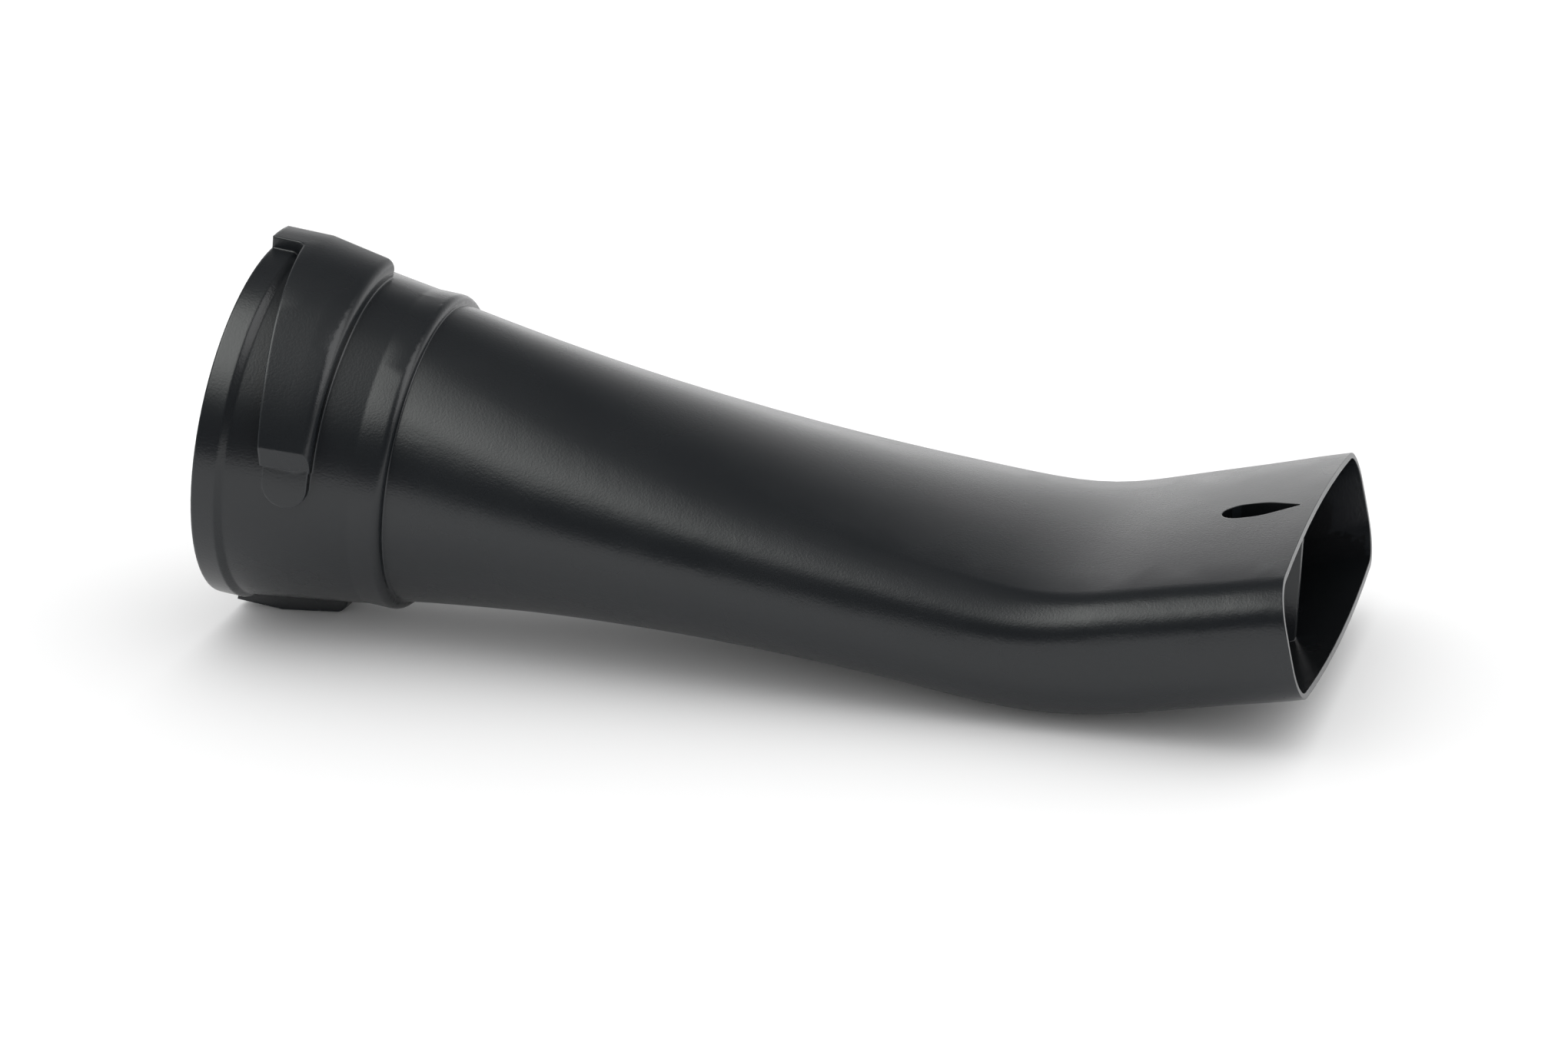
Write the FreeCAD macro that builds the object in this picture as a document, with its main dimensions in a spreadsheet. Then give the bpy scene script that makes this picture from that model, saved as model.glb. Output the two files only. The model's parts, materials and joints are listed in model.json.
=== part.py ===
"""Flat nozzle tube of a hand-held leaf blower, moulded in one piece.

Working frame, in millimetres: the collar's axis is X, with the rim at X = 0 and the mouth at +X,
Y is across the tube and Z is up. The finished tube is then laid down as it comes to rest, with its
bounding box centred over the origin and its lowest point on Z = 0.
"""
import FreeCAD
import Part
import Sketcher

import math
import os

Vector = FreeCAD.Vector

# Driving dimensions, in millimetres and degrees.
SIZES = {
    # collar
    "rim_diameter": 80.0,
    "rim_band": 5.1,
    "rim_step": 1.0,
    "rim_step_length": 1.6,
    "cone_end": 33.6,
    "band_height": 2.1,
    "collar_length": 40.8,
    "shoulder_round": 1.9,
    "collar_wall": 2.0,
    "socket_lead_in": 0.7,
    # tube, bend and mouth
    "tube_diameter": 66.0,
    "straight_run": 130.4,
    "bend_radius": 84.0,
    "bend_angle": 19.7,
    "tip_length": 39.0,
    "mouth_width": 99.2,
    "mouth_height": 30.2,
    "mouth_corner": 9.1,
    "mouth_crown_turn": 5.7,
    "mouth_side_turn": 3.4,
    "flatten_power": 1.84,
    "corner_power": 1.2,
    "tube_wall": 1.8,
    "mouth_wall": 1.2,
    # hollow strut across the mouth
    "strut_hole_width": 9.4,
    "strut_nose_back": 20.2,
    "strut_shoulder_back": 11.3,
    "strut_shoulder_round": 8.0,
    "strut_tail_back": 3.6,
    "strut_tail_width": 0.6,
    "strut_lean": 14.0,
    "strut_wall": 1.2,
    # bayonet bulges on the collar, with the tracks inside them
    "bulge_diameter": 85.4,
    "bulge_straight": 10.6,
    "bulge_end": 25.3,
    "bulge_end_diameter": 80.0,
    "bulge_round": 2.5,
    "bulge_wall": 1.8,
    "entry_width": 9.0,
    "entry_round": 2.0,
    "turn_angle": 84.5,
    "ramp_start": 7.0,
    "ramp_end": 15.0,
    "catch_length": 4.0,
    "catch_drop": 2.0,
    "pad_diameter": 76.6,
    "pad_start": 14.9,
    "pad_end": 25.1,
    "lock_angle": 90.0,
}

# The quarter of a round section is cut into three equal arcs: crown, corner and side.
ROUND_TURN = 30

# Numbers of equal steps between stations along the tube's straight run, its bend and its tip.
STRAIGHT_STEPS = 9
BEND_STEPS = 3
TIP_STEPS = 3
MOUTH_STATION = STRAIGHT_STEPS + BEND_STEPS + TIP_STEPS

# Fineness of the facets that the rest position is worked out from.
FINE = 0.02

# How far the catch's cut runs past its head, in lengths of the catch.
CATCH_OVERRUN = 3

# How far the end pad is turned before its end is rounded, in radii of that round.
PAD_OVERRUN = 1.2

# Angles closer than this, in radians, count as the same.
SAME_ANGLE = 1e-3

doc = FreeCAD.newDocument("nozzle_tube")


def fill_sheet(name, cells):
    """Make a spreadsheet with one named cell in each row."""
    sheet = doc.addObject("Spreadsheet::Sheet", name)
    for row, (alias, content) in enumerate(cells.items(), start=1):
        sheet.set(f"A{row}", alias)
        sheet.set(f"B{row}", str(content))
        sheet.setAlias(f"B{row}", alias)
    doc.recompute()
    return sheet


sizes = fill_sheet("Sizes", SIZES)


def number(expression):
    """Value of an expression in the sheets' cells."""
    return float(sizes.evalExpression(expression))


def origin_feature(body, role):
    """One of a body's own origin planes or axes."""
    return [feature for feature in body.Origin.OriginFeatures if feature.Role == role][0]


def new_sketch(body, name, plane, base=("0", "0", "0"), axis=(1, 0, 0), angle="0"):
    """Sketch on an origin plane of the body, moved and turned in that plane's own axes."""
    sketch = body.newObject("Sketcher::SketchObject", name)
    sketch.AttachmentSupport = (origin_feature(body, plane), "")
    sketch.MapMode = "FlatFace"
    place = Vector(*(number(part) for part in base))
    turn = FreeCAD.Rotation(Vector(*axis), number(angle))
    sketch.AttachmentOffset = FreeCAD.Placement(place, turn)
    for letter, part in zip("xyz", base):
        if part != "0":
            sketch.setExpression(f"AttachmentOffset.Base.{letter}", part)
    if angle != "0":
        sketch.setExpression("AttachmentOffset.Rotation.Angle", angle)
    return sketch


def bind(sketch, name, constraint, expression):
    """Add a named constraint whose value follows an expression."""
    index = sketch.addConstraint(constraint)
    sketch.renameConstraint(index, name)
    sketch.setExpression(f"Constraints.{name}", expression)


def pin_point(sketch, name, edge, end, across, up):
    """Hold one end of an edge at a place given by two expressions."""
    for kind, axis, expression in (("DistanceX", -2, across), ("DistanceY", -1, up)):
        value = number(expression)
        if expression == "0":
            sketch.addConstraint(Sketcher.Constraint("PointOnObject", edge, end, axis))
        elif value < 0:
            constraint = Sketcher.Constraint(kind, edge, end, -1, 1, -value)
            bind(sketch, f"{name}_{kind}", constraint, f"-({expression})")
        else:
            constraint = Sketcher.Constraint(kind, -1, 1, edge, end, value)
            bind(sketch, f"{name}_{kind}", constraint, expression)


def draw_outline(sketch, corners, arcs=None):
    """Closed outline through corners given as pairs of expressions.

    arcs maps a corner's index to (radius, centre across, centre up) of the arc that runs
    from it to the next corner; the other edges are straight.
    """
    arcs = arcs or {}
    points = [Vector(number(across), number(up), 0) for across, up in corners]
    count = len(points)
    for index, start in enumerate(points):
        end = points[(index + 1) % count]
        if index in arcs:
            radius, across, up = arcs[index]
            centre = Vector(number(across), number(up), 0)
            sketch.addGeometry(arc_between(centre, number(radius), start, end))
        else:
            sketch.addGeometry(Part.LineSegment(start, end))
    for index in range(count):
        following = (index + 1) % count
        first_end = nearest_end(sketch, index, points[following])
        next_start = nearest_end(sketch, following, points[following])
        sketch.addConstraint(Sketcher.Constraint("Coincident", index, first_end, following, next_start))
    for index, (across, up) in enumerate(corners):
        pin_point(sketch, f"corner_{index}", index, nearest_end(sketch, index, points[index]), across, up)
    for index, (radius, across, up) in arcs.items():
        constraint = Sketcher.Constraint("Radius", index, number(radius))
        bind(sketch, f"arc_{index}", constraint, radius)


def arc_between(centre, radius, start, end):
    """The shorter arc about a centre from one point to another, kept anticlockwise."""
    first = math.atan2(start.y - centre.y, start.x - centre.x)
    last = math.atan2(end.y - centre.y, end.x - centre.x)
    if (last - first) % (2 * math.pi) > math.pi + SAME_ANGLE:
        first, last = last, first
    circle = Part.Circle(centre, Vector(0, 0, 1), radius)
    return Part.ArcOfCircle(circle, first, first + (last - first) % (2 * math.pi))


def nearest_end(sketch, edge, point):
    """1 for an edge's start, 2 for its end, whichever lies at the point."""
    to_start = sketch.getPoint(edge, 1).distanceToPoint(point)
    to_end = sketch.getPoint(edge, 2).distanceToPoint(point)
    return 1 if to_start <= to_end else 2


def add_feature(body, kind, name, **settings):
    """Add a feature to a body, set its properties and rebuild."""
    feature = body.newObject(f"PartDesign::{kind}", name)
    for key, value in settings.items():
        setattr(feature, key, value)
    return feature


def revolve(body, name, sketch, angle=None, both_ways=False):
    """Turn a sketch about the collar's axis, fully or through an angle."""
    feature = add_feature(body, "Revolution", name, Profile=sketch, Midplane=both_ways)
    feature.ReferenceAxis = (origin_feature(body, "X_Axis"), [""])
    if angle is None:
        feature.Angle = 360
    else:
        feature.Angle = number(angle)
        feature.setExpression("Angle", angle)
    doc.recompute()
    return feature


def new_body(name):
    return doc.addObject("PartDesign::Body", name)


# Derived values at each station of the tube, worked out from the driving dimensions.
BEND_ARC = "(Sizes.bend_radius * Sizes.bend_angle * pi / 180)"
REACH = f"(Sizes.straight_run + {BEND_ARC} + Sizes.tip_length)"
SOCKET_FLOOR = "(Sizes.collar_length - Sizes.collar_wall)"
BAND = "(Sizes.tube_diameter / 2 + Sizes.band_height)"


def station_reaches():
    """Distance of each station from the collar along the middle of the tube.

    The last station lies one step past the mouth, so the mouth is a clean cut through the loft.
    """
    straight = [f"Sizes.straight_run * {step} / {STRAIGHT_STEPS}" for step in range(STRAIGHT_STEPS)]
    bend = [f"Sizes.straight_run + {BEND_ARC} * {step} / {BEND_STEPS}" for step in range(BEND_STEPS)]
    tip = [f"{REACH} - Sizes.tip_length * {TIP_STEPS - step} / {TIP_STEPS}" for step in range(TIP_STEPS + 2)]
    return straight + bend + tip


def station_cells(key, reach):
    """Cells of one station: its place on the middle line and the measures of its section.

    The width grows evenly from the collar to the mouth. The height falls and the corners tighten by
    power laws that end with the bend, so the tip keeps one height.
    """
    turned = f"min(max((reach_{key} - Sizes.straight_run) / {BEND_ARC}; 0); 1)"
    beyond = f"max(reach_{key} - Sizes.straight_run - {BEND_ARC}; 0)"
    along = f"reach_{key}"
    left = f"(1 - min({along} / (Sizes.straight_run + {BEND_ARC}); 1))"
    blend = f"corner_blend_{key}"
    crown = f"crown_turn_{key}"
    side = f"side_turn_{key}"
    width = f"half_width_{key}"
    height = f"half_height_{key}"
    corner = f"corner_{key}"
    lower = f"({width} + {corner} * (sin({crown}) - cos({side})))"
    upper = f"({height} - {corner} * (cos({crown}) - sin({side})))"
    share = f"(sin({crown}) * sin({side}) - (1 - cos({crown})) * (1 - cos({side})))"
    return {
        f"reach_{key}": f"={reach}",
        f"tilt_{key}": f"=Sizes.bend_angle * {turned}",
        f"middle_x_{key}": f"=Sizes.collar_length + min(reach_{key}; Sizes.straight_run)"
                           f" + Sizes.bend_radius * sin(tilt_{key}) + {beyond} * cos(tilt_{key})",
        f"middle_z_{key}": f"=Sizes.bend_radius * (1 - cos(tilt_{key})) + {beyond} * sin(tilt_{key})",
        f"wall_{key}": f"=Sizes.tube_wall + (Sizes.mouth_wall - Sizes.tube_wall) * {along} / {REACH}",
        f"corner_blend_{key}": f"={left} ^ Sizes.corner_power",
        width: f"=Sizes.tube_diameter / 2 + (Sizes.mouth_width - Sizes.tube_diameter) / 2 * {along} / {REACH}",
        height: f"=Sizes.mouth_height / 2 + (Sizes.tube_diameter - Sizes.mouth_height) / 2"
                f" * {left} ^ Sizes.flatten_power",
        corner: f"={height} * ({blend} + 2 * Sizes.mouth_corner / Sizes.mouth_height * (1 - {blend}))",
        crown: f"={ROUND_TURN} * {blend} + Sizes.mouth_crown_turn * (1 - {blend})",
        side: f"={ROUND_TURN} * {blend} + Sizes.mouth_side_turn * (1 - {blend})",
        f"crown_radius_{key}": f"=({lower} * sin({side}) - (1 - cos({side})) * {upper}) / {share}",
        f"side_radius_{key}": f"=(sin({crown}) * {upper} - (1 - cos({crown})) * {lower}) / {share}",
    }


def fill_stations():
    """Sheet of station values; gives the stations' numbers, from the collar to the mouth."""
    reaches = station_reaches()
    cells = {}
    for key, reach in enumerate(reaches):
        cells.update(station_cells(key, reach))
    fill_sheet("Stations", cells)
    return list(range(len(reaches)))


def draw_section(body, name, key, inset):
    """Section of the tube at one station: crowned top and bottom, four corners and two sides.

    Eight arcs meet on common tangents. The inset is the expression by which it lies inside the skin.
    """
    base = ("0", f"Stations.middle_z_{key}", f"Stations.middle_x_{key}")
    sketch = new_sketch(body, name, "YZ_Plane", base, angle=f"-Stations.tilt_{key}")
    crown = f"Stations.crown_turn_{key}"
    side = f"Stations.side_turn_{key}"
    radii = [f"Stations.{word}_{key} - {inset}" for word in ("crown_radius", "corner", "side_radius")]
    width = f"(Stations.half_width_{key} - {inset})"
    height = f"(Stations.half_height_{key} - {inset})"
    crown_end = (f"({radii[0]}) * sin({crown})", f"{height} - ({radii[0]}) * (1 - cos({crown}))")
    side_end = (f"{width} - ({radii[2]}) * (1 - cos({side}))", f"({radii[2]}) * sin({side})")
    crown_radius, corner_radius, side_radius = (number(radius) for radius in radii)
    crown_turn = math.radians(number(crown))
    side_turn = math.radians(number(side))
    quarter = math.pi / 2
    corner_x = number(side_end[0]) - corner_radius * math.cos(side_turn)
    corner_z = number(side_end[1]) - corner_radius * math.sin(side_turn)
    crown_z = number(height) - crown_radius
    side_x = number(width) - side_radius
    # anticlockwise from the right-hand side: side, corner, top, corner, side, corner, bottom, corner
    pieces = (
        (side_x, 0, side_radius, -side_turn, side_turn),
        (corner_x, corner_z, corner_radius, side_turn, quarter - crown_turn),
        (0, crown_z, crown_radius, quarter - crown_turn, quarter + crown_turn),
        (-corner_x, corner_z, corner_radius, quarter + crown_turn, 2 * quarter - side_turn),
        (-side_x, 0, side_radius, 2 * quarter - side_turn, 2 * quarter + side_turn),
        (-corner_x, -corner_z, corner_radius, 2 * quarter + side_turn, 3 * quarter - crown_turn),
        (0, -crown_z, crown_radius, 3 * quarter - crown_turn, 3 * quarter + crown_turn),
        (corner_x, -corner_z, corner_radius, 3 * quarter + crown_turn, 4 * quarter - side_turn),
    )
    for across, up, radius, first, last in pieces:
        circle = Part.Circle(Vector(across, up, 0), Vector(0, 0, 1), radius)
        sketch.addGeometry(Part.ArcOfCircle(circle, first, last))
    for edge in range(8):
        sketch.addConstraint(Sketcher.Constraint("Coincident", edge, 2, (edge + 1) % 8, 1))
    for edge, word in ((0, 2), (4, 2), (2, 0), (6, 0), (1, 1), (3, 1), (5, 1), (7, 1)):
        bind(sketch, f"radius_{edge}", Sketcher.Constraint("Radius", edge, number(radii[word])), radii[word])
    pin_point(sketch, "side_end", 0, 2, *side_end)
    pin_point(sketch, "crown_end", 1, 2, *crown_end)
    # the other six joints mirror these two across the upright and the level middle lines
    for first, second, line in (((0, 2), (3, 2), -2), ((0, 2), (0, 1), -1), ((3, 2), (4, 2), -1),
                                ((1, 2), (2, 2), -2), ((1, 2), (7, 1), -1), ((2, 2), (5, 2), -1)):
        sketch.addConstraint(Sketcher.Constraint("Symmetric", *first, *second, line))
    return sketch


def loft_tube(body, name, keys, inset_word=None):
    """Loft through the stations' sections, at the skin or inset by each station's wall."""
    sections = []
    for key in keys:
        inset = f"Stations.{inset_word}_{key}" if inset_word else "0"
        sections.append(draw_section(body, f"{name}_section_{key}", key, inset))
    doc.recompute()
    loft = add_feature(body, "AdditiveLoft", name, Profile=sections[0])
    loft.Sections = sections[1:]
    doc.recompute()


def make_outside(keys):
    """Outer form, still solid: the collar turned about its axis, then the lofted tube."""
    body = new_body("outer_form")
    rim = "Sizes.rim_diameter / 2"
    cone_start = "Sizes.rim_band + Sizes.rim_step_length"
    corners = [
        ("0", "0"),
        ("0", rim),
        ("Sizes.rim_band", rim),
        (cone_start, f"{rim} - Sizes.rim_step"),
        ("Sizes.cone_end", BAND),
        ("Sizes.collar_length - Sizes.shoulder_round", BAND),
        ("Sizes.collar_length", f"{BAND} - Sizes.shoulder_round"),
        ("Sizes.collar_length", "0"),
    ]
    shoulder = ("Sizes.shoulder_round", corners[5][0], corners[6][1])
    sketch = new_sketch(body, "collar_profile", "XZ_Plane")
    draw_outline(sketch, corners, {5: shoulder})
    revolve(body, "collar", sketch)
    loft_tube(body, "tube", keys)
    trim = add_feature(body, "Pocket", "mouth_cut", Profile=draw_mouth_cut(body), Type="ThroughAll")
    trim.Reversed = True
    doc.recompute()
    return body


def draw_mouth_cut(body):
    """Square in the plane of the mouth, larger than the tube's end."""
    base = ("0", f"Stations.middle_z_{MOUTH_STATION}", f"Stations.middle_x_{MOUTH_STATION}")
    sketch = new_sketch(body, "mouth_square", "YZ_Plane", base, angle="-Sizes.bend_angle")
    reach = "Sizes.mouth_width"
    draw_outline(sketch, [(reach, reach), (f"-{reach}", reach), (f"-{reach}", f"-{reach}"), (reach, f"-{reach}")])
    return sketch


def make_hollow(keys):
    """Space inside: the socket that takes the blower's tube, then the duct to the mouth."""
    body = new_body("hollow")
    rim = "Sizes.rim_diameter / 2 - Sizes.collar_wall"
    cone_start = "Sizes.rim_band + Sizes.rim_step_length"
    band = f"{BAND} - Sizes.collar_wall"
    duct = "Sizes.tube_diameter / 2 - Sizes.tube_wall"
    corners = [
        ("-Sizes.collar_wall", "0"),
        ("-Sizes.collar_wall", f"{rim} + Sizes.socket_lead_in"),
        ("0", f"{rim} + Sizes.socket_lead_in"),
        ("Sizes.socket_lead_in", rim),
        ("Sizes.rim_band", rim),
        (cone_start, f"{rim} - Sizes.rim_step"),
        ("Sizes.cone_end", band),
        (SOCKET_FLOOR, band),
        (SOCKET_FLOOR, duct),
        ("Sizes.collar_length", duct),
        ("Sizes.collar_length", "0"),
    ]
    sketch = new_sketch(body, "socket_profile", "XZ_Plane")
    draw_outline(sketch, corners)
    revolve(body, "socket", sketch)
    loft_tube(body, "duct", keys, "wall")
    return body


def polar(radius, angle):
    """Across and up expressions of a point about the collar's axis."""
    return f"({radius}) * cos({angle})", f"({radius}) * sin({angle})"


def bulge_fall(inset):
    """Angle at which a bulge's top falls towards its end."""
    drop = "(Sizes.bulge_diameter - Sizes.bulge_end_diameter) / 2"
    return f"atan({drop} / (Sizes.bulge_end - {inset} - Sizes.bulge_straight))"


def draw_bulge_profile(body, name, left, inset):
    """Lengthwise profile of a bulge: level behind the rim, then falling to its steep, rounded end."""
    root = "Sizes.tube_diameter / 4"
    top = f"(Sizes.bulge_diameter / 2 - {inset})"
    end = f"(Sizes.bulge_end - {inset})"
    low = f"(Sizes.bulge_end_diameter / 2 - {inset})"
    rounding = f"(Sizes.bulge_round - {inset})"
    fall = bulge_fall(inset)
    tangent = f"({rounding} * tan((90 deg - {fall}) / 2))"
    corners = [
        (left, root),
        (left, top),
        ("Sizes.bulge_straight", top),
        (f"{end} - {tangent} * cos({fall})", f"{low} + {tangent} * sin({fall})"),
        (end, f"{low} - {tangent}"),
        (end, root),
    ]
    sketch = new_sketch(body, name, "XZ_Plane")
    draw_outline(sketch, corners, {3: (rounding, f"{end} - {rounding}", corners[4][1])})
    return sketch


def round_edge(body, name, radius, chosen):
    """Round the edges of a body that a test picks out."""
    base = body.Tip
    names = [f"Edge{index}" for index, edge in enumerate(base.Shape.Edges, start=1) if chosen(edge)]
    if not names:
        raise RuntimeError(f"{name}: no edge to round")
    feature = add_feature(body, "Fillet", name, Base=(base, names), Radius=number(radius))
    feature.setExpression("Radius", radius)
    doc.recompute()
    return feature


def cut(body, name, sketch, length):
    """Cut a sketch's outline through the body, half of the length to each side."""
    before = body.Tip.Shape.Volume
    feature = add_feature(body, "Pocket", name, Profile=sketch, Midplane=True, Length=number(length))
    feature.setExpression("Length", length)
    doc.recompute()
    if feature.Shape.Volume >= before:
        raise RuntimeError(f"{name} cuts nothing")
    return feature


def samples(edge):
    """A few points along an edge."""
    return edge.discretize(5)


def make_bayonet(name, inset, entry_start):
    """Raised path of one bayonet lug: entry from the rim, ramped turn, catch and end pad; then its twin.

    With no inset it is the bulge outside the collar; inset by the wall it is the track inside.
    """
    body = new_body(name)
    top = "Sizes.bulge_diameter / 2"
    back_off = f"({inset}) / ({top}) * 180 / pi"
    through = "Sizes.rim_diameter * 2"

    # the turn, from the top of the collar round to its side
    sketch = draw_bulge_profile(body, f"{name}_turn_profile", "Sizes.ramp_start / 2", inset)
    revolve(body, f"{name}_turn", sketch, f"Sizes.turn_angle - {back_off}")

    # its rim side is trimmed by a plane that leans along the turn, so the lug is drawn in as it turns
    half_turn = "Sizes.turn_angle / 2"
    chord = f"2 * ({top}) * sin({half_turn})"
    middle = f"(Sizes.ramp_start + Sizes.ramp_end) / 2 + {inset}"
    drift = "(Sizes.ramp_end - Sizes.ramp_start)"
    sketch = new_sketch(body, f"{name}_ramp_line", "XY_Plane", angle=half_turn)
    draw_outline(sketch, [
        (f"{middle} - {drift}", chord),
        ("-Sizes.rim_band", chord),
        ("-Sizes.rim_band", f"-{chord}"),
        (f"{middle} + {drift}", f"-{chord}"),
    ])
    cut(body, f"{name}_ramp", sketch, through)

    # catch: the last stretch of the turn slopes down to its end, evenly across the bulge's falling top
    fall = bulge_fall(inset)
    crest = f"(({top} - {inset}) * cos({fall}) + Sizes.bulge_straight * sin({fall}))"
    turn_end = f"(90 + Sizes.turn_angle - {back_off})"
    catch_turn = f"Sizes.catch_length / ({top}) * 180 / pi"
    foot = polar(f"{crest} - Sizes.catch_drop", turn_end)
    head = polar(crest, f"{turn_end} - {catch_turn}")
    above = [f"({low}) + {CATCH_OVERRUN} * (({high}) - ({low}))" for low, high in zip(foot, head)]
    below = [f"({low}) - (({high}) - ({low}))" for low, high in zip(foot, head)]
    outward = "-Sizes.rim_diameter"
    sketch = new_sketch(body, f"{name}_catch_line", "YZ_Plane", axis=(0, 1, 0), angle=fall)
    draw_outline(sketch, [tuple(below), tuple(above), (outward, above[1]), (outward, below[1])])
    cut(body, f"{name}_catch", sketch, through)

    # end pad, where the lug comes to rest, with a half-round end
    pad_start = f"(Sizes.pad_start + {inset})"
    pad_end = f"(Sizes.pad_end - {inset})"
    pad_radius = f"(({pad_end} - {pad_start}) / 2)"
    pad_middle = f"(({pad_end} + {pad_start}) / 2)"
    skin = f"(Sizes.pad_diameter / 2 - {inset})"
    overlap = f"({back_off} + 2 * {catch_turn})"
    pad_overrun = f"{PAD_OVERRUN} * {pad_radius} / {skin} * 180 / pi"
    pad_turn = f"(Sizes.lock_angle - Sizes.turn_angle + {overlap} + {pad_overrun})"
    sketch = new_sketch(body, f"{name}_pad_profile", "XZ_Plane", angle=f"Sizes.turn_angle - {overlap}")
    root = "Sizes.tube_diameter / 4"
    draw_outline(sketch, [(pad_start, root), (pad_start, skin), (pad_end, skin), (pad_end, root)])
    revolve(body, f"{name}_pad", sketch, pad_turn)
    sketch = new_sketch(body, f"{name}_pad_end", "XY_Plane", angle="Sizes.lock_angle")
    clear = f"(2 * {pad_radius})"
    draw_outline(sketch, [
        (f"{pad_middle} - {clear}", "0"),
        (f"{pad_middle} - {pad_radius}", "0"),
        (pad_middle, f"-{pad_radius}"),
        (f"{pad_middle} + {pad_radius}", "0"),
        (f"{pad_middle} + {clear}", "0"),
        (f"{pad_middle} + {clear}", f"-{clear}"),
        (f"{pad_middle} - {clear}", f"-{clear}"),
    ], {1: (pad_radius, pad_middle, "0"), 2: (pad_radius, pad_middle, "0")})
    cut(body, f"{name}_pad_round", sketch, through)

    # entry channel, open at the rim
    entry_turn = f"(Sizes.entry_width - 2 * {inset}) / ({top}) * 180 / pi"
    sketch = draw_bulge_profile(body, f"{name}_entry_profile", entry_start, inset)
    revolve(body, f"{name}_entry", sketch, entry_turn, both_ways=True)

    # rounded inner corner between entry and turn
    corner_x = number(f"Sizes.ramp_start + {inset}")
    side_turn = math.radians(90 + number(entry_turn) / 2)

    def is_inner_corner(edge):
        points = samples(edge)
        turns = [math.atan2(point.z, point.y) for point in points]
        leaning = points[0].x != points[-1].x and abs(points[0].x - points[-1].x) < edge.Length / 2
        beside = all(abs(turn - side_turn) < SAME_ANGLE for turn in turns)
        return beside and leaning and max(point.x for point in points) < corner_x + edge.Length / 2

    round_edge(body, f"{name}_corner", f"Sizes.entry_round + {inset}", is_inner_corner)

    # the second lug's path lies half a turn round the collar
    pattern = add_feature(body, "PolarPattern", f"{name}_pair", Occurrences=2, Angle=360)
    pattern.TransformMode = "Whole shape"
    pattern.Axis = (origin_feature(body, "X_Axis"), [""])
    body.Tip = pattern
    doc.recompute()
    return body


def draw_teardrop(body, name, height, wall):
    """Aerofoil outline across the tip, blunt to the air and sharp towards the mouth.

    height is the level above the tip's middle line, and wall is how far the outline lies outside the
    hole's. The strut leans, so the outline moves away from the mouth as the level falls.
    """
    tilt = "Sizes.bend_angle"
    base = (f"Stations.middle_x_{MOUTH_STATION} - ({height}) * sin({tilt})", "0",
            f"Stations.middle_z_{MOUTH_STATION} + ({height}) * cos({tilt})")
    sketch = new_sketch(body, name, "XY_Plane", base, axis=(0, 1, 0), angle=f"-{tilt}")
    half = "(Sizes.strut_hole_width / 2)"
    blunt = "(Sizes.strut_tail_width / 2)"
    length = "(Sizes.strut_shoulder_back - Sizes.strut_tail_back)"
    taper = f"atan(({half} - {blunt}) / {length})"
    shift = f"((Sizes.mouth_height / 2 - ({height})) * tan(Sizes.strut_lean))"
    side = f"({half} + {wall})"
    nose = f"(-Sizes.strut_nose_back + {half} - {shift})"
    shoulder = f"(-Sizes.strut_shoulder_back - {shift} + {wall} * tan({taper} / 2))"
    tail = f"(-Sizes.strut_tail_back - {shift} + {wall})"
    tail_side = f"({side} - ({tail} - {shoulder}) * tan({taper}))"
    rounding = f"(Sizes.strut_shoulder_round + {wall})"
    tangent = f"({rounding} * tan({taper} / 2))"
    round_start = (f"{shoulder} + {tangent} * cos({taper})", f"({side} - {tangent} * sin({taper}))")
    round_end = f"({shoulder} - {tangent})"
    shoulder_arc = (rounding, round_end, f"{side} - {rounding}")
    lower_arc = (rounding, round_end, f"{rounding} - {side}")
    nose_arc = (side, nose, "0")
    draw_outline(sketch, [
        (tail, tail_side),
        round_start,
        (round_end, side),
        (nose, side),
        (f"{nose} - {side}", "0"),
        (nose, f"-{side}"),
        (round_end, f"-{side}"),
        (round_start[0], f"-{round_start[1]}"),
        (tail, f"-{tail_side}"),
    ], {1: shoulder_arc, 3: nose_arc, 4: nose_arc, 6: lower_arc})
    return sketch


def loft_strut(body, kind, name, level, wall):
    """Straight loft between two teardrops, level above and below the tip's middle line."""
    upper = draw_teardrop(body, f"{name}_top", level, wall)
    lower = draw_teardrop(body, f"{name}_bottom", f"-({level})", wall)
    doc.recompute()
    loft = add_feature(body, kind, name, Profile=upper, Ruled=True)
    loft.Sections = [lower]
    doc.recompute()
    return loft


def combine(kind, name, **settings):
    """Boolean of finished forms."""
    result = doc.addObject(f"Part::{kind}", name)
    for key, value in settings.items():
        setattr(result, key, value)
    doc.recompute()
    return result


def lay_down(body):
    """Turn the tube and move it so that it lies as it comes to rest, centred over the origin.

    Seen from the side, it rests on the edge of its lower outline that has its weight above it.
    """
    shape = body.Shape
    points = sorted({(point.x, point.z) for point in shape.tessellate(FINE)[0]})
    hull = []
    for point in points:
        while len(hull) > 1 and turns_down(hull[-2], hull[-1], point):
            hull.pop()
        hull.append(point)
    weight_x = shape.Solids[0].CenterOfMass.x
    for first, second in zip(hull, hull[1:]):
        if first[0] <= weight_x <= second[0]:
            slope = math.degrees(math.atan2(second[1] - first[1], second[0] - first[0]))
    turn = FreeCAD.Rotation(Vector(0, 1, 0), slope)
    laid = shape.copy()
    laid.Placement = FreeCAD.Placement(Vector(), turn)
    box = laid.optimalBoundingBox(True, False)
    body.Placement = FreeCAD.Placement(Vector(-box.Center.x, -box.Center.y, -box.ZMin), turn)
    doc.recompute()


def turns_down(first, middle, last):
    """Whether the middle point of three lies on or above the line between the others."""
    run = (middle[0] - first[0]) * (last[1] - first[1])
    return run <= (middle[1] - first[1]) * (last[0] - first[0])


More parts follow.
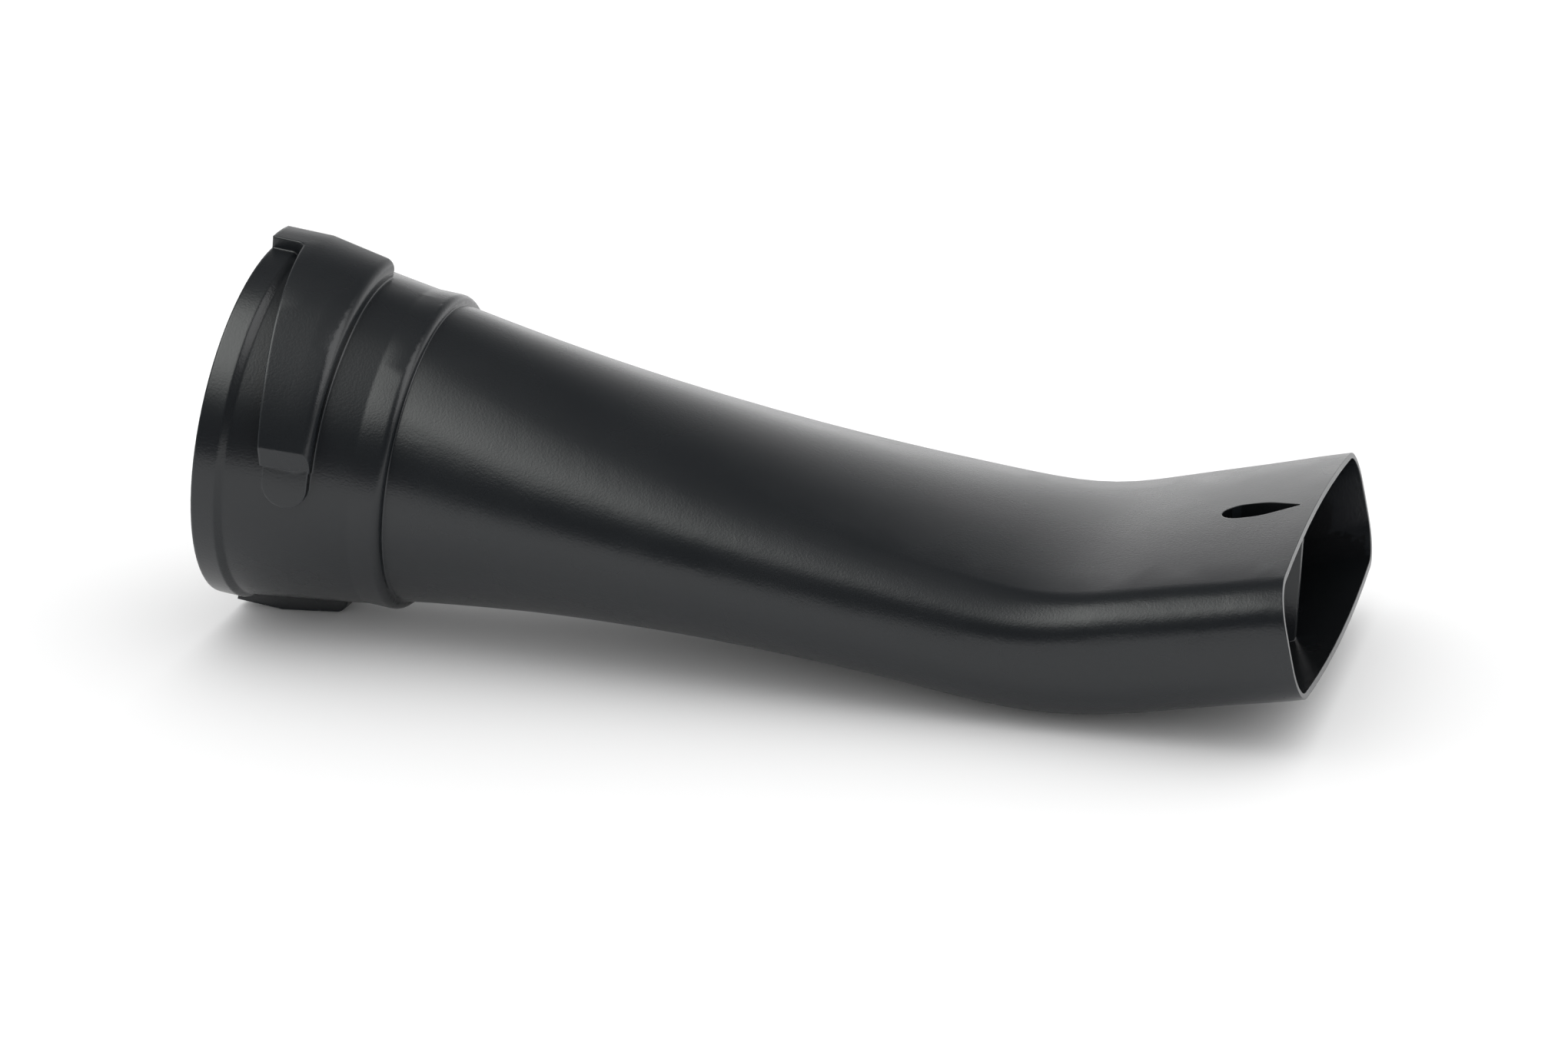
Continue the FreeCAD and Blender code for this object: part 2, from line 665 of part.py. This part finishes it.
def check_and_write(body):
    """Stop on any failed object, then write the finished solid."""
    for item in doc.Objects:
        failed = {"Invalid", "Error"} & set(item.State)
        if failed:
            raise RuntimeError(f"{item.Name} failed: {failed}")
    shape = body.Shape
    if shape.isNull() or not shape.isValid() or len(shape.Solids) != 1:
        raise RuntimeError(f"{body.Name} is not one valid solid")
    os.makedirs("parts", exist_ok=True)
    shape.exportStep(f"parts/{body.Label}.step")


keys = fill_stations()
outer_form = make_outside(keys)
hollow = make_hollow(keys)
bulges = make_bayonet("bayonet_bulges", "0", "0")
tracks = make_bayonet("bayonet_tracks", "Sizes.bulge_wall", "-Sizes.collar_wall")
outside = combine("MultiFuse", "outside", Shapes=[outer_form, bulges])
inside = combine("MultiFuse", "inside", Shapes=[hollow, tracks])
shell = combine("Cut", "shell", Base=outside, Tool=inside)

nozzle_tube = new_body("nozzle_tube")
nozzle_tube.BaseFeature = shell
doc.recompute()
loft_strut(nozzle_tube, "AdditiveLoft", "strut", "Sizes.mouth_height / 2 - Sizes.mouth_wall / 2", "Sizes.strut_wall")
loft_strut(nozzle_tube, "SubtractiveLoft", "strut_hole", "Sizes.mouth_height / 2 + Sizes.mouth_wall", "0")
lay_down(nozzle_tube)
check_and_write(nozzle_tube)
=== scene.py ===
"""Looks of a leaf blower's nozzle tube: moulded black plastic on a white studio floor."""
import json
import math

import bpy
from mathutils import Matrix, Vector
from mathutils.bvhtree import BVHTree


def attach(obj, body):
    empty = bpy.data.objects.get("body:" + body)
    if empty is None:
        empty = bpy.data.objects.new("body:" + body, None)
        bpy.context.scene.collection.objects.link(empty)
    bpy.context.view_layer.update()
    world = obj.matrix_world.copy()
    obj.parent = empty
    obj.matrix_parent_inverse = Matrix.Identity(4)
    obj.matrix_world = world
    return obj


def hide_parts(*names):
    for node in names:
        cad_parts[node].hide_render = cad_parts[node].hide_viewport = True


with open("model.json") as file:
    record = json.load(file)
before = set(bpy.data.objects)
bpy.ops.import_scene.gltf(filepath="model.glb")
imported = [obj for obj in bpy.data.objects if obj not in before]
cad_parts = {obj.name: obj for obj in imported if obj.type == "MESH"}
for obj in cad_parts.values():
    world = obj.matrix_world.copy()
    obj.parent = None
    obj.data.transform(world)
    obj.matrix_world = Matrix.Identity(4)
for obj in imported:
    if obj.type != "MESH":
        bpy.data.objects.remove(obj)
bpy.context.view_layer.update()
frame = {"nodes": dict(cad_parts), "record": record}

bl_info = {
    "name": "Blower nozzle tube",
    "version": (1, 0, 0),
    "blender": (4, 5, 0),
    "location": "3D View > Sidebar > Nozzle tube",
    "description": "Dresses the nozzle tube in moulded plastic and sets up its studio",
    "category": "Object",
}

MM = 0.001
NODE = "nozzle_tube"

# Where the collar's cone meets its level band, from the rim; this low crease shows.
CONE_END = 33.6 * MM
# Where the collar ends, from the rim, and the length beyond it over which the mould's edges get sharper.
COLLAR_END = 40.8 * MM
EDGE_BLEND = 10 * MM

# Corners closer than this lie at one place.
SAME_PLACE = 0.002 * MM
# Corners closer than this to the crease keep their shading.
NEAR_CREASE = 0.02 * MM

# The mesh's mark on the faces deep inside the duct, which get painted shade.
PAINTED_SHADE_INSIDE = "painted_shade_inside"
# Walls that face each other closer than this are outside details, such as the catch, and get no painted
# shade.
INSIDE_SHADE_CLEAR = 12 * MM


def linear(hex_colour):
    """Linear RGB of an sRGB colour written as six hex digits."""
    channels = [int(hex_colour[place:place + 2], 16) / 255 for place in (0, 2, 4)]
    return tuple(c / 12.92 if c <= 0.04045 else ((c + 0.055) / 1.055) ** 2.4 for c in channels)


def collar_frame():
    """Matrix to the row's frame from the collar's own: rim centre at the origin and X towards the mouth."""
    mounts = {mount["name"]: mount for mount in frame["record"]["mounts"]}
    rim = mounts["bayonet_tracks"]
    along = -Vector(rim["axis"]).normalized()
    across = Vector((0, 1, 0))
    up = along.cross(across)
    turn = Matrix((along, across, up)).transposed().to_4x4()
    return Matrix.Translation(rim["pos_m"]) @ turn


COLLAR = collar_frame()
# Where the collar ends, along the row's X.
COLLAR_END_X = (COLLAR @ Vector((COLLAR_END, 0, 0))).x


class PlasticSettings(bpy.types.PropertyGroup):
    """Finish of the moulding."""

    colour: bpy.props.FloatVectorProperty(
        name="Colour", description="Colour of the plastic itself", subtype="COLOR",
        size=3, min=0, max=1, default=linear("181B1E"))
    roughness: bpy.props.FloatProperty(
        name="Roughness", description="Roughness of the satin skin", default=0.27, min=0, max=1)
    grain_size: bpy.props.FloatProperty(
        name="Grain size", description="Width of one wrinkle of the moulded grain",
        default=0.5 * MM, unit="LENGTH")
    grain_depth: bpy.props.FloatProperty(
        name="Grain depth", description="Height of the moulded grain",
        default=0.03 * MM, unit="LENGTH")
    patch_size: bpy.props.FloatProperty(
        name="Patch size", description="Width of the slow patches in the skin's gloss",
        default=30 * MM, unit="LENGTH")
    roughness_change: bpy.props.FloatProperty(
        name="Roughness change", description="How far the roughness drifts from patch to patch",
        default=0.025)
    # painted shade: a darker colour for the faces deep inside the duct
    inside_shade_colour: bpy.props.FloatVectorProperty(
        name="Inside shade colour", description="Colour of the painted shade deep inside the duct",
        subtype="COLOR", size=3, min=0, max=1, default=linear("0D0F11"))
    # partly scuffs, partly a painted sheen on the rounded edges
    scuff_and_sheen_colour: bpy.props.FloatVectorProperty(
        name="Scuff and sheen colour", description="Colour of scuffed edges and their painted sheen", subtype="COLOR",
        size=3, min=0, max=1, default=linear("3A3D40"))
    collar_edge: bpy.props.FloatProperty(
        name="Collar edge", description="Radius that the mould leaves on the collar's edges",
        default=0.8 * MM, unit="LENGTH")
    tip_edge: bpy.props.FloatProperty(
        name="Tip edge", description="Radius that the mould leaves on the other edges",
        default=0.3 * MM, unit="LENGTH")
    soft_angle: bpy.props.FloatProperty(
        name="Soft angle", description="Faces that meet at less than this are shaded as one",
        default=math.radians(16), subtype="ANGLE")


class StudioSettings(bpy.types.PropertyGroup):
    """Camera, floor and lights."""

    lens: bpy.props.FloatProperty(
        name="Lens", description="Focal length on a 36 mm sensor", default=105.37, unit="CAMERA")
    floor_colour: bpy.props.FloatVectorProperty(
        name="Floor colour", description="Colour of the studio floor", subtype="COLOR",
        size=3, min=0, max=1, default=linear("F3F3F3"))
    dome_level: bpy.props.FloatProperty(
        name="Dome level", description="Strength of the soft light from all round", default=1.0, min=0)
    softbox_level: bpy.props.FloatProperty(
        name="Softbox level", description="Brightness of the near softbox's face", default=3.6)
    softbox_colour: bpy.props.FloatVectorProperty(
        name="Softbox colour", description="Colour of the near softbox's light", subtype="COLOR",
        size=3, min=0, max=1, default=linear("FDFFFB"))
    side_level: bpy.props.FloatProperty(
        name="Side light level", description="Brightness of the farther light on the mouth's side",
        default=2.0)


# Sockets of the mix node that hold colours; its number sockets come before them under the same names.
MIX_COLOUR_A = 6
MIX_COLOUR_B = 7
MIX_COLOUR_RESULT = 2


def add_node(tree, kind, inputs=None, **settings):
    """Add one shader node; inputs maps socket names or numbers to values or to other nodes' outputs."""
    node = tree.nodes.new(kind)
    for name, value in settings.items():
        setattr(node, name, value)
    for name, value in (inputs or {}).items():
        socket = node.inputs[name]
        if isinstance(value, bpy.types.NodeSocket):
            tree.links.new(value, socket)
        else:
            socket.default_value = value
    return node


def new_material(name):
    """Empty node material and its output node."""
    material = bpy.data.materials.new(name)
    material.use_nodes = True
    tree = material.node_tree
    tree.nodes.clear()
    return material, tree, tree.nodes.new("ShaderNodeOutputMaterial")


# Rays that find the rounded edges.
EDGE_SAMPLES = 16
# Part of the noise's range that the slow patches fill, and how far the colour drifts with it.
PATCH_LOW = 0.3
PATCH_HIGH = 0.7
SHADE_CHANGE = 0.07
# Cosine of an edge's turn from its face where the scuffs and painted sheen begin, and where they are full.
SCUFF_AND_SHEEN_BEGINS = 0.985
SCUFF_AND_SHEEN_FULL = 0.85
# Typical of common moulded plastics.
PLASTIC_IOR = 1.5


def rounded_edges(tree, place, settings):
    """Normal with the mould's rounded edges, which are rounder on the sturdy collar than on the thin tip."""
    along = add_node(tree, "ShaderNodeSeparateXYZ", {"Vector": place})
    radius = add_node(tree, "ShaderNodeMapRange", {
        "Value": along.outputs["X"], "From Min": COLLAR_END_X, "From Max": COLLAR_END_X + EDGE_BLEND,
        "To Min": settings.collar_edge, "To Max": settings.tip_edge})
    edges = add_node(tree, "ShaderNodeBevel", {"Radius": radius.outputs[0]}, samples=EDGE_SAMPLES)
    return edges.outputs["Normal"]


def etched_grain(tree, place, rounded, settings):
    """Normal with the mould's etched grain added, which bends and breaks up the highlights."""
    # a finer grain doesn't show in the render, so it is drawn this coarse
    grain = add_node(tree, "ShaderNodeTexNoise", {
        "Vector": place, "Scale": 1 / settings.grain_size,
        "Detail": 2.0, "Roughness": 0.5, "Distortion": 0.5})
    bump = add_node(tree, "ShaderNodeBump", {
        "Height": grain.outputs["Fac"], "Distance": settings.grain_depth, "Strength": 1.0,
        "Normal": rounded})
    return bump.outputs["Normal"]


def scuffs_and_edge_sheen(tree, rounded, patches):
    """How pale the rounded edges are painted: partly handling scuffs here and there, partly a painted sheen.
    """
    face_normal = add_node(tree, "ShaderNodeNewGeometry").outputs["Normal"]
    facing = add_node(tree, "ShaderNodeVectorMath", {0: rounded, 1: face_normal}, operation="DOT_PRODUCT")
    edge = add_node(tree, "ShaderNodeMapRange", {
        "Value": facing.outputs["Value"], "From Min": SCUFF_AND_SHEEN_BEGINS, "From Max": SCUFF_AND_SHEEN_FULL})
    scuffs_and_sheen = add_node(tree, "ShaderNodeMath", {0: edge.outputs[0], 1: patches}, operation="MULTIPLY")
    return scuffs_and_sheen.outputs[0]


def moulded_plastic(settings):
    """Black plastic from an etched mould: satin skin with a fine wrinkled grain and softly rounded edges."""
    material, tree, output = new_material("moulded_black_plastic")
    place = add_node(tree, "ShaderNodeTexCoord").outputs["Object"]
    rounded = rounded_edges(tree, place, settings)
    # slow patches, as the skin cools unevenly in the mould
    patches = add_node(tree, "ShaderNodeTexNoise", {
        "Vector": place, "Scale": 1 / settings.patch_size, "Detail": 3.0}).outputs["Fac"]
    patch_range = {"Value": patches, "From Min": PATCH_LOW, "From Max": PATCH_HIGH}
    gloss = add_node(tree, "ShaderNodeMapRange", {
        **patch_range, "To Min": settings.roughness - settings.roughness_change,
        "To Max": settings.roughness + settings.roughness_change})
    shade = add_node(tree, "ShaderNodeMapRange", {
        **patch_range, "To Min": 1 - SHADE_CHANGE, "To Max": 1 + SHADE_CHANGE})
    skin = add_node(tree, "ShaderNodeVectorMath", {
        0: settings.colour, "Scale": shade.outputs[0]}, operation="SCALE")
    # painted shade: faces deep inside the duct, where little light gets in, are coloured a deeper black
    inside = add_node(tree, "ShaderNodeAttribute", attribute_name=PAINTED_SHADE_INSIDE).outputs["Fac"]
    inside_shaded = add_node(tree, "ShaderNodeMix", {
        "Factor": inside, MIX_COLOUR_A: skin.outputs["Vector"],
        MIX_COLOUR_B: (*settings.inside_shade_colour, 1)}, data_type="RGBA")
    # scuffs and a painted sheen turn the edges paler
    colour = add_node(tree, "ShaderNodeMix", {
        "Factor": scuffs_and_edge_sheen(tree, rounded, patches), MIX_COLOUR_A: inside_shaded.outputs[MIX_COLOUR_RESULT],
        MIX_COLOUR_B: (*settings.scuff_and_sheen_colour, 1)}, data_type="RGBA")
    shader = add_node(tree, "ShaderNodeBsdfPrincipled", {
        "Base Color": colour.outputs[MIX_COLOUR_RESULT], "Roughness": gloss.outputs[0],
        "IOR": PLASTIC_IOR, "Normal": etched_grain(tree, place, rounded, settings)})
    tree.links.new(shader.outputs["BSDF"], output.inputs["Surface"])
    return material


def soften_seams(mesh, settings):
    """Shade smoothly across seams where two faces of the solid nearly share a tangent; creases stay."""
    to_collar = COLLAR.inverted()
    places = [mesh.vertices[loop.vertex_index].co for loop in mesh.loops]
    normals = [normal.vector.copy() for normal in mesh.corner_normals]
    spots = [tuple(round(part / SAME_PLACE) for part in place) for place in places]
    meeting = {}
    for spot, normal in zip(spots, normals):
        meeting.setdefault(spot, []).append(normal)
    softened = []
    for place, spot, own in zip(places, spots, normals):
        if abs((to_collar @ place).x - CONE_END) > NEAR_CREASE:
            close = [other for other in meeting[spot] if other.angle(own) < settings.soft_angle]
            own = sum(close, Vector()).normalized()
        softened.append(own)
    mesh.normals_split_custom_set(softened)


def mark_shaded_inside(mesh):
    """Mark the faces deep inside the duct for painted shade: they look across the inside at the wall
    opposite.
    """
    faces = mesh.polygons
    walls = BVHTree.FromPolygons([point.co for point in mesh.vertices], [face.vertices for face in faces])
    marks = mesh.attributes.new(PAINTED_SHADE_INSIDE, "FLOAT", "FACE")
    for face, mark in zip(faces, marks.data):
        start = face.center + face.normal * INSIDE_SHADE_CLEAR
        wall = walls.ray_cast(start, face.normal)[0]
        mark.value = 0.0 if wall is None else 1.0


class NOZZLE_OT_tube(bpy.types.Operator):
    """Give the moulding smooth shading and its plastic"""

    bl_idname = "nozzle.tube"
    bl_label = "Moulded tube"

    def execute(self, context):
        settings = context.scene.nozzle_plastic
        node = frame["nodes"][NODE]
        mesh = node.data.copy()
        soften_seams(mesh, settings)
        mark_shaded_inside(mesh)
        piece = bpy.data.objects.new("moulded_tube", mesh)
        context.scene.collection.objects.link(piece)
        mesh.materials.clear()
        mesh.materials.append(moulded_plastic(settings))
        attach(piece, "root")
        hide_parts(NODE)
        return {"FINISHED"}


# The camera, fitted to the photograph: its place and its axes in the collar's frame, in millimetres.
CAMERA_PLACE = (325.558, -896.707, 347.101)
CAMERA_RIGHT = (0.95397, 0.26953, 0.13151)
CAMERA_UP = (-0.21466, 0.30746, 0.92703)
# How far the camera is turned about the collar's upright.
CAMERA_TURN = math.atan2(CAMERA_RIGHT[1], CAMERA_RIGHT[0])
# Width of its sensor in millimetres, and the nearest and farthest that it sees in metres.
SENSOR_WIDTH = 36
CLIP_NEAR = 0.05
CLIP_FAR = 50


def add_camera(scene, settings):
    """Camera at the photograph's viewpoint."""
    data = bpy.data.cameras.new("camera")
    data.lens = settings.lens
    data.sensor_width = SENSOR_WIDTH
    data.clip_start = CLIP_NEAR
    data.clip_end = CLIP_FAR
    camera = bpy.data.objects.new("camera", data)
    scene.collection.objects.link(camera)
    right = Vector(CAMERA_RIGHT).normalized()
    up = Vector(CAMERA_UP)
    up = (up - right * up.dot(right)).normalized()
    back = right.cross(up)
    pose = Matrix((right, up, back)).transposed().to_4x4()
    pose.translation = Vector(CAMERA_PLACE) * MM
    camera.matrix_world = COLLAR @ pose
    scene.camera = camera


def add_area_light(scene, name, place, turn, width, depth, level):
    """Rectangular light, which shines straight down where it isn't turned; level is its face's brightness."""
    data = bpy.data.lights.new(name, "AREA")
    data.shape = "RECTANGLE"
    data.size = width
    data.size_y = depth
    data.energy = level * math.pi * width * depth
    light = bpy.data.objects.new(name, data)
    scene.collection.objects.link(light)
    light.location = place
    light.rotation_euler = turn
    # only the highlights come from it; the world lights the floor
    light.visible_diffuse = False
    return light


# The farther light on the mouth's side; the lights and the floor are in metres.
SIDE_LIGHT_PLACE = (0.65, -0.1, 0.55)
SIDE_LIGHT_AIM = (0, 0, 0.03)
SIDE_LIGHT_WIDTH = 0.6
SIDE_LIGHT_DEPTH = 0.9

# The near softbox hangs level, and its face fades towards the camera, the back and the mouth's side.
SOFTBOX_PLACE = (-0.25, -0.315, 0.38)
SOFTBOX_WIDTH = 0.41
SOFTBOX_DEPTH = 0.67
SOFTBOX_SIDE_FADE = 0.16
SOFTBOX_BACK_FADE = 0.08
SOFTBOX_FRONT_FADE = 0.35


def add_softbox(scene, settings):
    """Near softbox above the collar and the tube, which draws the long highlight."""
    light = add_area_light(
        scene, "softbox", SOFTBOX_PLACE, (0, 0, 0), SOFTBOX_WIDTH, SOFTBOX_DEPTH, settings.softbox_level)
    light.data.color = settings.softbox_colour
    light.data.use_nodes = True
    tree = light.data.node_tree
    tree.nodes.clear()
    face = add_node(tree, "ShaderNodeSeparateXYZ", {
        "Vector": add_node(tree, "ShaderNodeNewGeometry").outputs["Parametric"]})
    # the shares of the three fades are multiplied; each runs from nothing at its edge to full further in
    shares = []
    for across, edge, further_in in (
            ("X", 1.0, 1 - SOFTBOX_SIDE_FADE / SOFTBOX_WIDTH),
            ("Y", 1.0, 1 - SOFTBOX_BACK_FADE / SOFTBOX_DEPTH),
            ("Y", 0.0, SOFTBOX_FRONT_FADE / SOFTBOX_DEPTH)):
        share = add_node(tree, "ShaderNodeMapRange", {
            "Value": face.outputs[across], "From Min": edge, "From Max": further_in})
        shares.append(share.outputs[0])
    side, back, front = shares
    depth = add_node(tree, "ShaderNodeMath", {0: back, 1: front}, operation="MULTIPLY")
    level = add_node(tree, "ShaderNodeMath", {0: side, 1: depth.outputs[0]}, operation="MULTIPLY")
    glow = add_node(tree, "ShaderNodeEmission", {"Strength": level.outputs[0]})
    add_node(tree, "ShaderNodeOutputLight", {"Surface": glow.outputs[0]})


# What the plastic mirrors, from the horizon (0) up to straight overhead (1): height and brightness.
BACK_LEVELS = (
    (0.0, 1.76), (0.17, 1.16), (0.34, 0.68), (0.5, 0.34), (0.64, 0.14), (0.8, 0.07), (1.0, 0.24))
FRONT_LEVELS = (
    (0.0, 0.016), (0.3, 0.024), (0.5, 0.11), (0.64, 0.24), (0.8, 0.4), (0.94, 0.4), (1.0, 0.24))
# The two blend over this much of the direction's depth, each way.
BACK_BLEND = 0.3

# Soft light on the floor and the plastic, by height in the same way, from the four sides.
DOME_OVERHEAD = (1.0, 1.4)
DOME_MOUTH_SIDE = ((0.0, 1.2), (0.33, 1.3), (0.66, 1.4), DOME_OVERHEAD)
DOME_COLLAR_SIDE = ((0.0, 1.45), (0.33, 1.65), (0.66, 0.85), DOME_OVERHEAD)
DOME_BACK = ((0.0, 1.6), (0.33, 2.4), (0.66, 1.3), DOME_OVERHEAD)
DOME_FRONT = ((0.0, 1.3), (0.33, 1.2), (0.66, 0.45), DOME_OVERHEAD)


def add_ramp(tree, factor, stops):
    """Grey ramp with the given stops."""
    ramp = add_node(tree, "ShaderNodeValToRGB", {"Fac": factor})
    elements = ramp.color_ramp.elements
    while len(elements) < len(stops):
        elements.new(1.0)
    for element, (height, level) in zip(elements, stops):
        element.position = height
        element.color = (level, level, level, 1)
    return ramp.outputs["Color"]


def mirrored_room(tree, y, height):
    """Brightness that reflections see: a white backdrop behind the tube and a dark room in front of it."""
    to_back = add_node(tree, "ShaderNodeMapRange", {
        "Value": y, "From Min": -BACK_BLEND, "From Max": BACK_BLEND}, interpolation_type="SMOOTHSTEP")
    mirrored = add_node(tree, "ShaderNodeMix", {
        "Factor": to_back.outputs[0], "A": add_ramp(tree, height, FRONT_LEVELS),
        "B": add_ramp(tree, height, BACK_LEVELS)}, data_type="FLOAT")
    return mirrored.outputs[0]


def soft_dome(tree, x, y, height):
    """Brightness of the soft light from all round, blended from its four sides."""
    # each side's share is the square of the direction's part towards it
    sides = []
    for part, behind, ahead in ((x, DOME_COLLAR_SIDE, DOME_MOUTH_SIDE), (y, DOME_FRONT, DOME_BACK)):
        is_ahead = add_node(tree, "ShaderNodeMath", {0: part, 1: 0.0}, operation="GREATER_THAN")
        level = add_node(tree, "ShaderNodeMix", {
            "Factor": is_ahead.outputs[0], "A": add_ramp(tree, height, behind),
            "B": add_ramp(tree, height, ahead)}, data_type="FLOAT")
        square = add_node(tree, "ShaderNodeMath", {0: part, 1: part}, operation="MULTIPLY")
        sides.append((level.outputs[0], square.outputs[0]))
    (across, across_square), (depth, depth_square) = sides
    both_squares = add_node(tree, "ShaderNodeMath", {0: across_square, 1: depth_square}, operation="ADD")
    across_share = add_node(tree, "ShaderNodeMath", {
        0: across_square, 1: both_squares.outputs[0]}, operation="DIVIDE")
    dome = add_node(tree, "ShaderNodeMix", {
        "Factor": across_share.outputs[0], "A": depth, "B": across}, data_type="FLOAT")
    return dome.outputs[0]


def studio_world(settings):
    """White to the camera, a soft dome to dull surfaces, and in reflections a backdrop and a dark room."""
    world = bpy.data.worlds.new("studio")
    world.use_nodes = True
    tree = world.node_tree
    tree.nodes.clear()
    path = add_node(tree, "ShaderNodeLightPath")
    direction = add_node(tree, "ShaderNodeSeparateXYZ", {
        "Vector": add_node(tree, "ShaderNodeTexCoord").outputs["Generated"]})
    x, y, height = (direction.outputs[name] for name in "XYZ")
    soft = add_node(tree, "ShaderNodeMath", {
        0: soft_dome(tree, x, y, height), 1: settings.dome_level}, operation="MULTIPLY")
    lit = add_node(tree, "ShaderNodeMix", {
        "Factor": path.outputs["Is Glossy Ray"], "A": soft.outputs[0],
        "B": mirrored_room(tree, y, height)}, data_type="FLOAT")
    seen = add_node(tree, "ShaderNodeMix", {
        "Factor": path.outputs["Is Camera Ray"], "A": lit.outputs[0], "B": 1.0}, data_type="FLOAT")
    background = add_node(tree, "ShaderNodeBackground", {
        "Color": (1, 1, 1, 1), "Strength": seen.outputs[0]})
    output = add_node(tree, "ShaderNodeOutputWorld", {"Surface": background.outputs[0]})
    output.is_active_output = True
    return world


# The white paper lies square to the camera and ends a little in front of the tube, so the plastic
# mirrors some of the dark room below the horizon too.
FLOOR_LEFT = -2.0
FLOOR_RIGHT = 2.0
FLOOR_FRONT = -0.25
FLOOR_BACK = 3.0


def white_paper(settings):
    """White studio paper: dull all over, so it keeps the tube's soft shadow."""
    material, tree, output = new_material("white_studio_paper")
    paper = add_node(tree, "ShaderNodeBsdfDiffuse", {"Color": (*settings.floor_colour, 1)})
    tree.links.new(paper.outputs[0], output.inputs["Surface"])
    return material


def add_floor(scene, settings):
    """Pale floor under the tube."""
    mesh = bpy.data.meshes.new("floor")
    mesh.from_pydata([
        (FLOOR_LEFT, FLOOR_FRONT, 0), (FLOOR_RIGHT, FLOOR_FRONT, 0),
        (FLOOR_RIGHT, FLOOR_BACK, 0), (FLOOR_LEFT, FLOOR_BACK, 0)], [], [(0, 1, 2, 3)])
    mesh.materials.append(white_paper(settings))
    floor = bpy.data.objects.new("floor", mesh)
    scene.collection.objects.link(floor)
    floor.rotation_euler.z = CAMERA_TURN


class NOZZLE_OT_stage(bpy.types.Operator):
    """Camera, pale floor and soft studio lights"""

    bl_idname = "nozzle.stage"
    bl_label = "Studio"

    def execute(self, context):
        scene = context.scene
        settings = scene.nozzle_studio
        add_camera(scene, settings)
        add_floor(scene, settings)
        add_softbox(scene, settings)
        to_tube = Vector(SIDE_LIGHT_AIM) - Vector(SIDE_LIGHT_PLACE)
        add_area_light(
            scene, "side_light", SIDE_LIGHT_PLACE, to_tube.to_track_quat("-Z", "Y").to_euler(),
            SIDE_LIGHT_WIDTH, SIDE_LIGHT_DEPTH, settings.side_level)
        scene.world = studio_world(settings)
        scene.view_settings.view_transform = "Standard"
        return {"FINISHED"}


class NOZZLE_PT_panel(bpy.types.Panel):
    """Sidebar panel with the sizes, the colours and the build buttons"""

    bl_idname = "NOZZLE_PT_panel"
    bl_label = "Nozzle tube"
    bl_space_type = "VIEW_3D"
    bl_region_type = "UI"
    bl_category = "Nozzle tube"

    def draw(self, context):
        layout = self.layout
        for settings in (context.scene.nozzle_plastic, context.scene.nozzle_studio):
            for name in settings.bl_rna.properties.keys():
                if name not in ("rna_type", "name"):
                    layout.prop(settings, name)
        layout.operator(NOZZLE_OT_tube.bl_idname)
        layout.operator(NOZZLE_OT_stage.bl_idname)


CLASSES = (PlasticSettings, StudioSettings, NOZZLE_OT_tube, NOZZLE_OT_stage, NOZZLE_PT_panel)


def register():
    for item in CLASSES:
        bpy.utils.register_class(item)
    bpy.types.Scene.nozzle_plastic = bpy.props.PointerProperty(type=PlasticSettings)
    bpy.types.Scene.nozzle_studio = bpy.props.PointerProperty(type=StudioSettings)


def unregister():
    del bpy.types.Scene.nozzle_studio
    del bpy.types.Scene.nozzle_plastic
    for item in reversed(CLASSES):
        bpy.utils.unregister_class(item)


def main():
    register()
    bpy.ops.nozzle.tube()
    bpy.ops.nozzle.stage()


if __name__ == "__main__":
    main()
